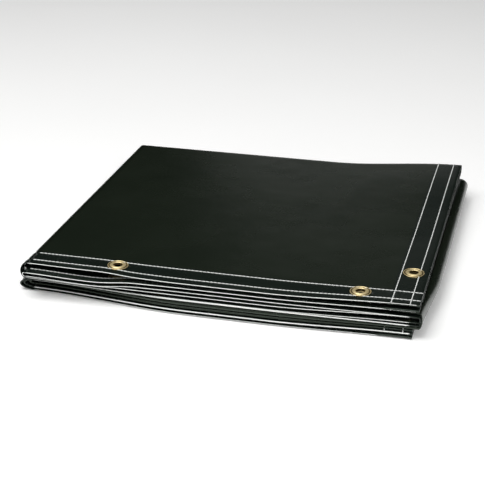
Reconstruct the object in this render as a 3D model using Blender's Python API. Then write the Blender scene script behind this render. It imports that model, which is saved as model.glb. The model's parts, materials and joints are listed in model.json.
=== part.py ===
"""A flame-retardant vinyl welding curtain, folded flat into a stack.

The curtain is one hemmed sheet with brass grommets. It is folded four plies deep from front to back,
and the strip that this leaves is folded into four leaves, left and right in turn, like a fan. The leaves
are named A (top) to D (bottom). Each fold between two leaves is a hinge line along Y.

Frame: +X right, +Y to the back, +Z up, origin on the ground under the middle of the stack.
"""

import math

import bmesh
import bpy

# Driving dimensions, in metres.
LEAF_WIDTH = 0.450  # one leaf, from fold line to fold line
STACK_DEPTH = 0.425  # front hem edge to back fold
VINYL_T = 0.00036  # one thickness of sheet
HEM_T = 0.0008  # sheet turned over and sewn down
HEM_WIDTH = 0.034
PLY_PITCH = 0.0027  # one ply with the air that stays under it
UPPER_BIGHT_SETBACK = 0.027  # leaves A and B: from the hem edges to the fold that lies between them
LOWER_BIGHT_SETBACK = 0.003  # leaves C and D
INNER_FOLD_SETBACK = 0.002  # from the outer back fold to the inner one
LEFT_OVERHANG = 0.006  # how far the left folds bulge past the leaves
RIGHT_OVERHANG = 0.012  # how far the right fold bulges past the leaves
FOLD_TAKE_UP = 0.020  # length of sheet that turns in one fold between leaves

GROMMET_OD = 0.0242
GROMMET_HOLE = 0.0114
BARREL_WALL = 0.0005
FLANGE_RISE = 0.0006
WASHER_T = 0.0004
LIP_T = 0.0002
LIP_WIDTH = 0.0014
RIM_MARGIN = 0.0005  # of hem that stays past a grommet's rim
GROMMET_FIRST = 0.067  # first grommet from the end of a long hem
GROMMET_PITCH = 0.2794
GROMMETS_PER_HEM = 7
GROMMET_INSET = 0.021  # from the edge of a long hem
SIDE_GROMMET_INSET = 0.017  # from the edge of a side hem
SIDE_GROMMET_NEAR = 0.0867  # side grommets of the hem plies, from the front
SIDE_GROMMET_FAR = 0.263  # side grommets of the bight plies, from the front

SEAM_GAP = 0.0003  # between pieces that lie edge to edge
FIT = 0.00015  # between a grommet's parts and the hem they clamp
HOLE_FIT = 0.0002  # around the barrel, in the hem and in the washer

ARC_STEPS = 8
ROUND_STEPS = 12
EDGE_STEPS = 4

# What follows from them.
PLIES = 4
LEAF_T = PLIES * PLY_PITCH
STACK_LEFT = -(LEAF_WIDTH + LEFT_OVERHANG + RIGHT_OVERHANG) / 2
LEFT_LINE = STACK_LEFT + LEFT_OVERHANG
RIGHT_LINE = LEFT_LINE + LEAF_WIDTH
FRONT = -STACK_DEPTH / 2
BACK = STACK_DEPTH / 2
HEM_BACK = FRONT + max(HEM_WIDTH, GROMMET_INSET + GROMMET_OD / 2 + RIM_MARGIN)
FLANGE_EDGE = FLANGE_RISE / 3
BARREL_R = GROMMET_HOLE / 2 + BARREL_WALL
CLOTH_HOLE_R = BARREL_R + HOLE_FIT

# Leaf name, its place in the stack from the ground, whether its hems are on its upper side, and its bight.
LEAVES = (
    ("d", 0, False, LOWER_BIGHT_SETBACK),
    ("c", 1, True, LOWER_BIGHT_SETBACK),
    ("b", 2, False, UPPER_BIGHT_SETBACK),
    ("a", 3, True, UPPER_BIGHT_SETBACK),
)


def clear_scene():
    for obj in list(bpy.data.objects):
        bpy.data.objects.remove(obj, do_unlink=True)


def material(name, rgb, roughness, metallic=0.0):
    mat = bpy.data.materials.new(name)
    mat.use_nodes = True
    shader = mat.node_tree.nodes["Principled BSDF"]
    shader.inputs["Base Color"].default_value = (*rgb, 1.0)
    shader.inputs["Roughness"].default_value = roughness
    shader.inputs["Metallic"].default_value = metallic
    mat.diffuse_color = (*rgb, 1.0)
    return mat


def add_object(name, mesh, mat, pivot=None):
    """Links a mesh as a named object, with its origin at pivot where the piece turns."""
    obj = bpy.data.objects.new(name, mesh)
    bpy.context.scene.collection.objects.link(obj)
    if pivot:
        for vertex in mesh.vertices:
            vertex.co -= type(vertex.co)(pivot)
        obj.location = pivot
    if mat:
        mesh.materials.append(mat)
    return obj


def mesh_from(name, points, faces):
    mesh = bpy.data.meshes.new(name)
    mesh.from_pydata(points, [], faces)
    bm = bmesh.new()
    bm.from_mesh(mesh)
    bmesh.ops.recalc_face_normals(bm, faces=bm.faces)
    bm.to_mesh(mesh)
    bm.free()
    return mesh


def arc(centre_y, centre_z, radius, start_deg, end_deg, steps=ARC_STEPS):
    """Points in the YZ plane from one angle to another, 0 degrees to the back and 90 up."""
    return [
        (
            centre_y + radius * math.cos(math.radians(start_deg + (end_deg - start_deg) * i / steps)),
            centre_z + radius * math.sin(math.radians(start_deg + (end_deg - start_deg) * i / steps)),
        )
        for i in range(steps + 1)
    ]


def ply_levels(place, hems_up):
    """Heights of a leaf's four plies: first hem ply, second hem ply, inner and outer bight ply."""
    levels = [place * LEAF_T + (PLIES - 0.5 - i) * PLY_PITCH for i in range(PLIES)]
    return levels if hems_up else [(2 * place + 1) * LEAF_T - level for level in levels]


def leaf_path(levels, bight_setback):
    """The run of the sheet through one leaf, seen along X.

    It goes back along the first hem ply, round the outer back fold to the outer bight ply, forward to
    the front bight, back along the inner bight ply, round the inner back fold, and forward again along
    the second hem ply.
    """
    first, second, inner, outer = levels
    up = 1 if first > outer else -1
    outer_r = abs(first - outer) / 2
    bight_r = abs(inner - outer) / 2
    inner_r = abs(second - inner) / 2
    inner_back = BACK - VINYL_T - INNER_FOLD_SETBACK - inner_r
    path = [(HEM_BACK + SEAM_GAP, first)]
    path += arc(BACK - outer_r - HEM_T / 2, (first + outer) / 2, outer_r, 90 * up, -90 * up)
    path += arc(FRONT + bight_setback + bight_r, (inner + outer) / 2, bight_r, -90 * up, -270 * up)
    path += arc(inner_back - HEM_T, (second + inner) / 2, inner_r, -90 * up, 90 * up)
    path.append((HEM_BACK + SEAM_GAP, second))
    return path


def ribbon(name, path, thickness, x_low, x_high):
    """A closed strip of the given thickness that follows a path in the YZ plane, from x_low to x_high."""
    count = len(path)
    sides = ([], [])
    for i, (y, z) in enumerate(path):
        y0, z0 = path[max(i - 1, 0)]
        y1, z1 = path[min(i + 1, count - 1)]
        length = math.hypot(y1 - y0, z1 - z0)
        ny, nz = -(z1 - z0) / length, (y1 - y0) / length
        for side, sign in zip(sides, (1, -1)):
            side.append((y + sign * ny * thickness / 2, z + sign * nz * thickness / 2))
    points = [(x, y, z) for x in (x_low, x_high) for side in sides for y, z in side]
    low_up, low_down, high_up, high_down = 0, count, 2 * count, 3 * count
    faces = []
    for i in range(count - 1):
        faces.append((low_up + i, low_up + i + 1, high_up + i + 1, high_up + i))
        faces.append((low_down + i, high_down + i, high_down + i + 1, low_down + i + 1))
        faces.append((low_up + i, low_down + i, low_down + i + 1, low_up + i + 1))
        faces.append((high_up + i, high_up + i + 1, high_down + i + 1, high_down + i))
    for i in (0, count - 1):
        faces.append((low_up + i, high_up + i, high_down + i, low_down + i))
    return mesh_from(name, points, faces)


def turned(name, profile, centre, up):
    """A ring turned round a vertical axis from a closed profile of (radius, height) points."""
    x, y, z = centre
    turns = [2 * math.pi * k / ROUND_STEPS for k in range(ROUND_STEPS)]
    points = [
        (x + r * math.cos(turn), y + r * math.sin(turn), z + up * h) for turn in turns for r, h in profile
    ]
    n = len(profile)
    faces = []
    for k in range(ROUND_STEPS):
        here, after = k * n, (k + 1) % ROUND_STEPS * n
        for i in range(n):
            above = (i + 1) % n
            faces.append((here + i, here + above, after + above, after + i))
    return mesh_from(name, points, faces)


def cut_hole(obj, x, y, z):
    """Punches one grommet hole through the single ply at height z."""
    name = f"{obj.name}_hole_{len(obj.modifiers) + 1}"
    mesh = prism(name, circle(x, y, CLOTH_HOLE_R), "Z", z - PLY_PITCH / 2, z + PLY_PITCH / 2)
    cutter = add_object(name, mesh, None)
    cutter.hide_render = True
    cutter.display_type = "WIRE"
    cut = obj.modifiers.new(name, "BOOLEAN")
    cut.operation = "DIFFERENCE"
    cut.object = cutter


def hem_outline(level):
    """A hem strip seen along X: flat, with its folded edge rounded at the front."""
    radius = HEM_T / 2
    front = arc(FRONT + radius, level, radius, 90, 270, EDGE_STEPS)
    return [*front, (HEM_BACK, level - radius), (HEM_BACK, level + radius)]


def prism(name, outline, axis, low, high):
    """A closed outline carried straight along an axis. Its points are the other two coordinates, in order."""
    count = len(outline)
    along = "XYZ".index(axis)
    points = [(*pair[:along], c, *pair[along:]) for c in (low, high) for pair in outline]
    faces = [tuple(range(count)), tuple(range(count, 2 * count))]
    for i in range(count):
        after = (i + 1) % count
        faces.append((i, after, count + after, count + i))
    return mesh_from(name, points, faces)


def circle(x, y, radius):
    """Points of a hole's outline, seen from above."""
    turns = [2 * math.pi * k / ROUND_STEPS for k in range(ROUND_STEPS)]
    return [(x + radius * math.cos(turn), y + radius * math.sin(turn)) for turn in turns]


def fold_nest(name, x_line, outward, overhang, z_line, mat):
    """The plies that turn together in one fold between leaves, as one half-oval solid along Y."""
    face = x_line + outward * SEAM_GAP
    half = LEAF_T - SEAM_GAP
    steps = 2 * ARC_STEPS
    outline = [
        (
            face + outward * (overhang - SEAM_GAP) * math.cos(math.pi * (i / steps - 0.5)),
            z_line + half * math.sin(math.pi * (i / steps - 0.5)),
        )
        for i in range(steps + 1)
    ]
    mesh = prism(name, outline, "Y", FRONT + HEM_T, BACK - HEM_T)
    return add_object(name, mesh, mat, pivot=(x_line, 0.0, z_line))


def eyelet_profile():
    """Flange, barrel and rolled lip, as radius and height from the middle of the hem."""
    seat = HEM_T / 2 + FIT
    crown = seat + FLANGE_RISE
    lip_top = -(HEM_T / 2 + WASHER_T + 2 * FIT)
    hole = GROMMET_HOLE / 2
    rim = GROMMET_OD / 2
    return [
        (hole, lip_top - LIP_T),
        (hole, crown - FLANGE_EDGE),
        (hole + FLANGE_RISE, crown),
        (rim - 2 * FLANGE_RISE, crown),
        (rim, seat + FLANGE_EDGE),
        (rim, seat),
        (BARREL_R, seat),
        (BARREL_R, lip_top),
        (BARREL_R + LIP_WIDTH, lip_top),
        (BARREL_R + LIP_WIDTH, lip_top - LIP_T),
    ]


def washer_profile():
    inner = BARREL_R + HOLE_FIT
    rim = GROMMET_OD / 2
    top = -(HEM_T / 2 + FIT)
    return [(inner, top - WASHER_T), (inner, top), (rim, top), (rim, top - WASHER_T)]


def crimped_profile():
    """Eyelet and washer pressed into one, for the side hems."""
    shell = eyelet_profile()
    washer_top = -(HEM_T / 2 + FIT)
    rim = GROMMET_OD / 2
    lip_edge = BARREL_R + LIP_WIDTH
    return [
        *shell[:7],
        (BARREL_R, washer_top),
        (rim, washer_top),
        (rim, washer_top - WASHER_T),
        (lip_edge, washer_top - WASHER_T),
        (lip_edge, shell[0][1]),
    ]


def hem_position(along):
    """The leaf, counted from the top, and the X of a point that far along a long hem."""
    run = LEAF_WIDTH + FOLD_TAKE_UP
    leaf = int(along // run)
    step = along - leaf * run
    return leaf, (RIGHT_LINE - step if leaf % 2 == 0 else LEFT_LINE + step)


def hinge_empty(name, x_line, z_line, parent):
    """An empty on a fold line, for the leaves that turn about it."""
    empty = bpy.data.objects.new(name, None)
    bpy.context.scene.collection.objects.link(empty)
    empty.parent = parent
    bpy.context.view_layer.update()
    empty.matrix_world.translation = (x_line, 0.0, z_line)
    bpy.context.view_layer.update()
    return empty


def hang_on(obj, empty):
    """Parents a piece to its hinge and leaves it where it is."""
    if empty:
        bpy.context.view_layer.update()
        obj.parent = empty
        obj.matrix_parent_inverse = empty.matrix_world.inverted()


def build_leaf(leaf, place, hems_up, bight_setback, mats, hinge):
    """One leaf: its folded panel, its two long hems, and a side hem where the sheet ends."""
    levels = ply_levels(place, hems_up)
    side_hem = leaf in ("a", "d")
    panel_right = RIGHT_LINE - (HEM_WIDTH + SEAM_GAP if side_hem else 0)
    panel_levels = [VINYL_T / 2, *levels[1:]] if place == 0 else levels
    made = [
        add_object(
            f"panel_{leaf}",
            ribbon(f"panel_{leaf}", leaf_path(panel_levels, bight_setback), VINYL_T, LEFT_LINE, panel_right),
            mats["vinyl"],
        )
    ]
    hems = []
    for edge, level in (("first", levels[0]), ("second", levels[1])):
        name = f"{edge}_hem_{leaf}"
        strip = prism(name, hem_outline(level), "X", LEFT_LINE, RIGHT_LINE)
        hems.append(add_object(name, strip, mats["hem"]))
    made += hems
    up = 1 if hems_up else -1
    number = {"a": 0, "b": 1, "c": 2, "d": 3}[leaf]
    for k in range(GROMMETS_PER_HEM):
        on_leaf, x = hem_position(GROMMET_FIRST + k * GROMMET_PITCH)
        if on_leaf != number:
            continue
        for edge, hem, level in zip(("first", "second"), hems, levels):
            centre = (x, FRONT + GROMMET_INSET, level)
            cut_hole(hem, *centre)
            for kind, profile in (("eyelet", eyelet_profile()), ("washer", washer_profile())):
                name = f"{kind}_{edge}_{k + 1}"
                made.append(add_object(name, turned(name, profile, centre, up), mats["brass"]))
    if side_hem:
        made += build_side_hem(leaf, leaf_path(levels, bight_setback), levels, up, mats)
    for obj in made:
        hang_on(obj, hinge)


def build_side_hem(leaf, path, levels, up, mats):
    """The hem along the end of the sheet, folded with its leaf, with four crimped grommets."""
    name = f"side_hem_{leaf}"
    hem = add_object(name, ribbon(name, path, HEM_T, RIGHT_LINE - HEM_WIDTH, RIGHT_LINE), mats["hem"])
    made = [hem]
    places = (SIDE_GROMMET_NEAR, SIDE_GROMMET_NEAR, SIDE_GROMMET_FAR, SIDE_GROMMET_FAR)
    for i, (level, from_front) in enumerate(zip(levels, places)):
        centre = (RIGHT_LINE - SIDE_GROMMET_INSET, FRONT + from_front, level)
        cut_hole(hem, *centre)
        grommet = f"side_grommet_{leaf}_{i + 1}"
        made.append(add_object(grommet, turned(grommet, crimped_profile(), centre, up), mats["brass"]))
    return made


def main():
    clear_scene()
    mats = {
        "vinyl": material("flame_retardant_vinyl", (0.010, 0.014, 0.010), 0.33),
        "hem": material("sewn_vinyl_hem", (0.011, 0.018, 0.015), 0.38),
        "brass": material("brass_grommet", (0.60, 0.46, 0.20), 0.28, 1.0),
    }
    lower_left = hinge_empty("hinge_c_on_d", LEFT_LINE, LEAF_T, None)
    right = hinge_empty("hinge_b_on_c", RIGHT_LINE, 2 * LEAF_T, lower_left)
    upper_left = hinge_empty("hinge_a_on_b", LEFT_LINE, 3 * LEAF_T, right)
    hinges = {"d": None, "c": lower_left, "b": right, "a": upper_left}
    for leaf, place, hems_up, bight_setback in LEAVES:
        build_leaf(leaf, place, hems_up, bight_setback, mats, hinges[leaf])
    folds = (
        ("fold_c_d", LEFT_LINE, -1, LEFT_OVERHANG, LEAF_T, None),
        ("fold_b_c", RIGHT_LINE, 1, RIGHT_OVERHANG, 2 * LEAF_T, lower_left),
        ("fold_a_b", LEFT_LINE, -1, LEFT_OVERHANG, 3 * LEAF_T, right),
    )
    for name, x_line, outward, overhang, z_line, hinge in folds:
        hang_on(fold_nest(name, x_line, outward, overhang, z_line, mats["vinyl"]), hinge)


main()
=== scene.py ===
# %% [markdown]
# # A folded welding curtain
#
# A welding curtain is one wide sheet of thick, glossy, nearly black vinyl. Its edges are turned over and
# sewn with two rows of pale thread, and brass grommets are pressed through the hems. Here it is folded for
# storage: four plies deep from front to back, and then left and right, like a fan, into four leaves.
#
# The solid model already says where each leaf, hem and grommet is, and how the leaves open. This lesson
# builds the looks around it. We start by loading that model, and we keep its box.

import itertools
import json
import math

import bmesh
import bpy
import numpy as np
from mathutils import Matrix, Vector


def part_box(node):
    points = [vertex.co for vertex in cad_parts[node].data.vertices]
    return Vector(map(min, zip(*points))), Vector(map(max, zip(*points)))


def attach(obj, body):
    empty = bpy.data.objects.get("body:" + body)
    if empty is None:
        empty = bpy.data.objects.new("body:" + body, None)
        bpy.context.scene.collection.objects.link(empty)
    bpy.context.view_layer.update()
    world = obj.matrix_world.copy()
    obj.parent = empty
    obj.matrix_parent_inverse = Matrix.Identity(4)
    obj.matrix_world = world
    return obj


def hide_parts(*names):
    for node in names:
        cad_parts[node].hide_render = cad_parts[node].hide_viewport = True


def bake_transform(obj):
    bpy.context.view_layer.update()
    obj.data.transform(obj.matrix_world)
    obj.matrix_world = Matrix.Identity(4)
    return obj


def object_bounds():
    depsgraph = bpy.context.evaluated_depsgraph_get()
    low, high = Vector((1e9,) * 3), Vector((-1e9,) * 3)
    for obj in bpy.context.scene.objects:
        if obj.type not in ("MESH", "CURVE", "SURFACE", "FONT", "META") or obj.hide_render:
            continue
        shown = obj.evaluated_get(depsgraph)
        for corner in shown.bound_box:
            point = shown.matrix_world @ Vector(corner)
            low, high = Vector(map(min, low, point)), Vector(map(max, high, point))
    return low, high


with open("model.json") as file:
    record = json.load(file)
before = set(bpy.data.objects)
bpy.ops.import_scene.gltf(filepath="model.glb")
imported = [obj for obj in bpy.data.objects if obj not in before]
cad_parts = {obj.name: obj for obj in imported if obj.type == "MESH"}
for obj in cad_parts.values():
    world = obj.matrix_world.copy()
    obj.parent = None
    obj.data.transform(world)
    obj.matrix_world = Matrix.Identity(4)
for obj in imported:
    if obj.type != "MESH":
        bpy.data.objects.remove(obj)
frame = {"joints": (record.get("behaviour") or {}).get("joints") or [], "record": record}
cad_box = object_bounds()
MM = 0.001
print("solid model from", [round(v, 4) for v in cad_box[0]], "to", [round(v, 4) for v in cad_box[1]])

# %% [markdown]
# ## Where the folds and plies are
#
# Each leaf is a path of four plies: the first hem ply, the second hem ply, and two plies between them that
# turn round at the front in a fold called the bight. We read the fold lines from the hinges and the heights
# of the plies from the solid hems, so nothing here is typed in twice.

# %% Fold lines and ply heights
hinges = {joint["name"]: joint["pos_m"] for joint in frame["joints"]}
LEFT, RIGHT = hinges["upper_left_fold"][0], hinges["right_fold"][0]
FRONT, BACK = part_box("first_hem_a")[0].y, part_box("panel_a")[1].y
TOP = cad_box[1][2]
SIDE_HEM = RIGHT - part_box("panel_a")[1].x
PLIES = ("first", "second", "inner", "outer")


def middle_of(node):
    """The middle of a solid's box."""
    low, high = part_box(node)
    return (low + high) / 2


def ply_heights(leaf):
    """Heights of a leaf's plies: the hems' own, and the bight plies one and two pitches past the second."""
    first, second = middle_of(f"first_hem_{leaf}").z, middle_of(f"second_hem_{leaf}").z
    return dict(zip(PLIES, (first, second, 2 * second - first, 3 * second - 2 * first)))


heights = {leaf: ply_heights(leaf) for leaf in "abcd"}
faces_up = {leaf: 1 if heights[leaf]["first"] > heights[leaf]["second"] else -1 for leaf in "abcd"}
print("fold lines at", LEFT, RIGHT, "- top ply at", round(heights["a"]["first"], 5))

# %% [markdown]
# ## How the real plies lie
#
# Limp sheet never stacks as evenly as a solid model. A cloth simulation could settle it, but sixteen plies
# less than 3 mm apart would take long and would not stop where we want them. So we describe the real lie with
# a few soft curves across the width, each with a value at the left end, the middle and the right end:
#
# - how far each ply's front edge is set back, and how far the back edge is pushed out,
# - how far the bight lies behind the front edge,
# - how tightly the plies are squeezed together, as a share of the solid model's spacing,
# - how far the front or the back of each ply lifts or droops.
#
# All but the squeeze are in millimetres. Curves keep each ply clear of the next one, which a mesh that is
# moved by hand would not.

# %% Soft curves across the width
SET_BACK = {
    "a": {"first": (2, 0, 6), "second": (-7, 0, 6)},
    "b": {"first": (-4, 0, 6), "second": (-6, 0, 6)},
    "c": {"first": (17, 0, 6), "second": (17, 0, 6)},
    "d": {"first": (17, 0, 6), "second": (17, 0, 6)},
}
PUSH_BACK = {"a": (0, 0, 17), "b": (0, 0, 7), "c": (0, 0, 5), "d": (0, 0, 3)}
BIGHT_BACK = {"a": (27, 27, 27), "b": (27, 27, 5), "c": (3, 3, 3), "d": (3, 3, 3)}
SQUEEZE = {
    "a": {"second": (0.35, 1, 1), "inner": (0.35, 1, 1)},
    "b": {"first": (0.55, 1, 0.62), "second": (0.28, 1, 0.62), "inner": (0.22, 1, 0.62)},
    "c": {"first": (0.30, 1, 1), "second": (0.30, 1, 1), "inner": (0.30, 1, 1)},
    "d": {"second": (0.74, 1, 1), "inner": (0.60, 1, 1)},
}
LIFT = {
    "a": {"first": (0.9, -2.4, 0.6), "second": (-1.6, -6.0, -5.2)},
    "b": {"first": (0, 1, 1.0), "second": (0.3, 3.4, 0.0)},
    "c": {
        "first": (0, -0.4, 0.8), "second": (0, 0.7, -0.8),
        "inner": (0, 1.4, 0.6), "outer": (0, -0.9, -0.4),
    },
    "d": {"second": (0, 2.0, 3.4), "inner": (0, 0.6, 1.6), "outer": (0, 0.9, 0.9)},
}
# The front's lift fades out over this distance behind the front edge.
LIFT_REACH = 38 * MM
BACK_LIFT = {"a": {"first": (0, 0, 5), "outer": (0, 0, 1)}}
# The back's lift begins at this share of the depth.
BACK_LIFT_FROM = 0.375
# The left end's value fades out by the first share of the width, and the right end's fades in from the other.
LEFT_PART, RIGHT_PART = 0.42, 0.62


def ease(t):
    """Rises smoothly from 0 to 1: three times t squared, less twice t cubed."""
    t = np.clip(t, 0.0, 1.0)
    return t * t * (3 - 2 * t)


def share_of_width(x):
    """0 at the left fold line and 1 at the right one."""
    return (x - LEFT) / (RIGHT - LEFT)


def across(x, at_left, in_middle, at_right):
    """A value that eases from the left end's to the middle's, and on to the right end's."""
    t = share_of_width(x)
    from_left, to_right = 1 - ease(t / LEFT_PART), ease((t - RIGHT_PART) / (1 - RIGHT_PART))
    return at_left * from_left + in_middle * (1 - from_left - to_right) + at_right * to_right


def front_edge(leaf, which, x):
    """Y of a ply's front edge: the solid's edge, set back by its soft curve."""
    return FRONT + MM * across(x, *SET_BACK[leaf].get(which, SET_BACK[leaf]["first"]))


set_back = [round(float(front_edge("d", "first", x) - FRONT) / MM, 1) for x in (LEFT, 0.0, RIGHT)]
print("bottom leaf's front edge is set back by", set_back, "mm")

# %% [markdown]
# ### The mouth
#
# Near the left end the top hem stands away from the one under it, and a mouth opens between them that shows
# the second hem, its stitches and its grommet. There the plies below are pressed together. Their depths are
# given under the top of the stack, and each ply eases from where it lies to its depth in the mouth.

# %% The mouth, and a ply's height
MOUTH_DEPTH = {
    "a": {"first": 0.4, "second": 12.4, "inner": 13.4, "outer": 14.2},
    "b": {"outer": 15.0, "inner": 15.8, "second": 16.8, "first": 18.2},
}
# Shares of the width between which the mouth opens, and between which it shuts again.
MOUTH_OPENS, MOUTH_SHUTS = (0.0, 0.20), (0.19, 0.29)
MOUTH_REACH = 110 * MM


def mouth(x):
    """How open the mouth is: rises from 0 to 1 by the left end, and falls back to 0 a quarter across."""
    t = share_of_width(x)
    rise = ease((t - MOUTH_OPENS[0]) / (MOUTH_OPENS[1] - MOUTH_OPENS[0]))
    return rise * (1 - ease((t - MOUTH_SHUTS[0]) / (MOUTH_SHUTS[1] - MOUTH_SHUTS[0])))


def height(leaf, which, x, y):
    """Height of a ply. Its distance from the outer ply is squeezed, and its front and back are lifted. Then
    it moves towards its depth in the mouth, by the share that the mouth is open there."""
    outer = heights[leaf]["outer"]
    squeeze = across(x, *SQUEEZE[leaf].get(which, (1, 1, 1)))
    z = outer + (heights[leaf][which] - outer) * squeeze
    inward = y - front_edge(leaf, which, x)
    z = z + MM * across(x, *LIFT[leaf].get(which, (0, 0, 0))) * (1 - ease(inward / LIFT_REACH))
    depth_share = (y - FRONT) / (BACK - FRONT)
    behind = ease((depth_share - BACK_LIFT_FROM) / (1 - BACK_LIFT_FROM))
    z = z + MM * across(x, *BACK_LIFT.get(leaf, {}).get(which, (0, 0, 0))) * behind
    if which in MOUTH_DEPTH.get(leaf, {}):
        share = mouth(x) * (1 - ease(inward / MOUTH_REACH))
        z = z + (TOP - MM * MOUTH_DEPTH[leaf][which] - z) * share
    return z


edge_height = float(height("a", "first", 0.0, front_edge("a", "first", 0.0)))
print("top ply's front edge, in the middle, is", round(edge_height, 4), "m high")

# %% [markdown]
# ## A leaf as one folded sheet
#
# A leaf is one continuous path seen from the side: back along the first hem ply, round the outer back fold,
# forward to the bight, back again, round the inner back fold, and forward to the second hem. The path is
# worked out for all columns at once. Each row of the arrays is a station on the path, each column a place
# across the width.

# %% Stations along the path
# Distances of the close stations behind the front edge. The turned-in hem ends at station HEM_STATION.
NEAR = np.array([0, 2, 4, 7, 10, 14, 18, 22, 26, 30, 33.3, 34.7, 38, 44, 52]) * MM
HEM_STATION = 10
FAR_STEPS, BIGHT_STEPS, TURN_STEPS = 80, 22, 9
# Above 1, the bight plies' stations crowd towards the bight, where the shape changes most.
BIGHT_CROWDING = 1.5
INNER_TURN_BACK = 3.4 * MM


def turn(y, z_from, z_to, bulge, steps):
    """A fold: half an oval from one height to the other, bulging along Y by `bulge`, without its ends."""
    angle = np.linspace(0, np.pi, steps + 2)[1:-1, None]
    return y + bulge * np.sin(angle), (z_from + z_to) / 2 + (z_from - z_to) / 2 * np.cos(angle)


print("stations in the hem end", NEAR[HEM_STATION] / MM, "mm behind the front edge")

# %% [markdown]
# ### The whole path
#
# The long plies run from the front edge to the outer back fold, and the short ones to the inner back fold,
# which lies inside it. Both pairs meet at the front. We work out Y first, ask `height` for Z, and then string
# the four plies together with a half oval at each fold.

# %% The whole path of a leaf
def leaf_path(leaf, x):
    """Y and Z of every station of a leaf's path, for each X, as arrays of stations by columns."""
    x = np.asarray(x, float)[None, :]
    edge, second_edge = front_edge(leaf, "first", x), front_edge(leaf, "second", x)
    half_outer = abs(heights[leaf]["first"] - heights[leaf]["outer"]) / 2
    half_inner = abs(heights[leaf]["second"] - heights[leaf]["inner"]) / 2
    outer_end = BACK + MM * across(x, *PUSH_BACK[leaf]) - half_outer
    inner_end = BACK - INNER_TURN_BACK - half_inner
    nose = edge + MM * across(x, *BIGHT_BACK[leaf])
    far = np.linspace(0, 1, FAR_STEPS + 1)[1:, None]
    long_y = np.vstack([edge + NEAR[:, None], edge + NEAR[-1] + far * (outer_end - edge - NEAR[-1])])
    short_from = second_edge + NEAR[:, None]
    short_y = np.vstack([short_from, short_from[-1:] + far * (inner_end - short_from[-1:])])
    crowded = np.linspace(0, 1, BIGHT_STEPS)[:, None] ** BIGHT_CROWDING
    bight_y = nose + crowded * (outer_end - nose)
    core_y = nose + crowded * (inner_end - nose)
    plies = {
        "first": (long_y, height(leaf, "first", x, long_y)),
        "outer": (bight_y[::-1], height(leaf, "outer", x, bight_y[::-1])),
        "inner": (core_y, height(leaf, "inner", x, core_y)),
        "second": (short_y[::-1], height(leaf, "second", x, short_y[::-1])),
    }
    run = []
    for ply, following in (("first", "outer"), ("outer", "inner"), ("inner", "second"), ("second", None)):
        y, z = plies[ply]
        run.append((y + 0 * z, z))
        if following:
            z_from, z_to = z[-1:], plies[following][1][:1]
            way = -1 if ply == "outer" else 1
            run.append(turn(y[-1:], z_from, z_to, way * np.abs(z_from - z_to) / 2, TURN_STEPS))
    return np.vstack([y for y, z in run]), np.vstack([z for y, z in run])


def directions(y, z):
    """Unit vectors along a path and square to it, from the differences between its stations."""
    dy, dz = np.gradient(y, axis=0), np.gradient(z, axis=0)
    length = np.hypot(dy, dz)
    return dy / length, dz / length


print("stations on a leaf's path:", leaf_path("a", [0.0])[0].shape[0])

# %% [markdown]
# ## Turning the edges over
#
# A hem is the sheet itself, turned over and sewn down. So we don't add strips: we carry the sheet on. At the
# long edges the path goes round a tiny half circle and back under itself. At the side hem the columns do the
# same. At a corner the outer layer has to go round the inner one, so the half circle's radius is the distance
# from the hem's middle to that layer.

# %% The turned-over edge
VINYL = 0.36 * MM
# The two layers of a hem lie this far apart, middle to middle. Sewn vinyl never lies quite flat on itself.
LAYER = 0.62 * MM
EDGE_STEPS = 5
UNDER_COLUMNS = 9
# Two columns stand this far on either side of the side hem's line, so that the hem's finish ends sharply.
HEM_LINE_GAP = 0.6 * MM
# The long hems move out over the side hem from this far before its line, over this length.
CORNER_FROM, CORNER_OVER = 6 * MM, 5 * MM


def columns(leaf, count):
    """X, sideways bulge and layer offset of each column. A leaf with a side hem goes round and back under."""
    x = np.linspace(LEFT, RIGHT, count)
    if leaf in "ad":
        x = np.sort(np.append(x, [RIGHT - SIDE_HEM - HEM_LINE_GAP, RIGHT - SIDE_HEM + HEM_LINE_GAP]))
        angle = np.linspace(0, np.pi, EDGE_STEPS + 2)[1:-1]
        under = np.linspace(RIGHT, RIGHT - SIDE_HEM, UNDER_COLUMNS)
        bulge = np.concatenate([0 * x, LAYER / 2 * np.sin(angle), 0 * under])
        offset = np.concatenate([0 * x, LAYER / 2 * (1 - np.cos(angle)), 0 * under + LAYER])
        return np.concatenate([x, 0 * angle + RIGHT, under]), bulge, offset
    return x, 0 * x, 0 * x


def with_hems(leaf, x, offset):
    """The leaf's path with its long hems turned over: Y, Z and a hem mask, stations by columns."""
    y, z = leaf_path(leaf, x)
    ty, tz = directions(y, z)
    last = y.shape[0] - 1
    under = np.arange(HEM_STATION, -1, -1)
    angle = np.linspace(np.pi, 0, EDGE_STEPS + 2)[1:-1]
    along = np.concatenate([[0] * EDGE_STEPS, np.arange(last + 1), [last] * EDGE_STEPS])
    take = np.concatenate([under, along, last - under[::-1]])
    turned = np.concatenate([under * 0 + np.pi, angle, np.zeros(last + 1), angle[::-1], under * 0 + np.pi])
    way = np.where(np.arange(len(take)) < len(take) // 2, -1, 1)[:, None]
    in_side_hem = ease((x - (RIGHT - SIDE_HEM - CORNER_FROM)) / CORNER_OVER) if leaf in "ad" else 0 * x
    middle = LAYER * (0.5 + in_side_hem)
    reach = (middle - offset)[None, :]
    down = -(middle[None, :] - reach * np.cos(turned)[:, None]) * faces_up[leaf]
    ahead = reach * np.sin(turned)[:, None] * way
    ty, tz = ty[take], tz[take]
    from_edge = np.minimum(np.arange(last + 1), last - np.arange(last + 1))[take]
    mask = (from_edge <= HEM_STATION)[:, None] | ((x > RIGHT - SIDE_HEM)[None, :] & (leaf in "ad"))
    return y[take] + ahead * ty - down * tz, z[take] + ahead * tz + down * ty, mask


print("one hem is", round((VINYL + LAYER) / MM, 2), "mm thick")

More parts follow.
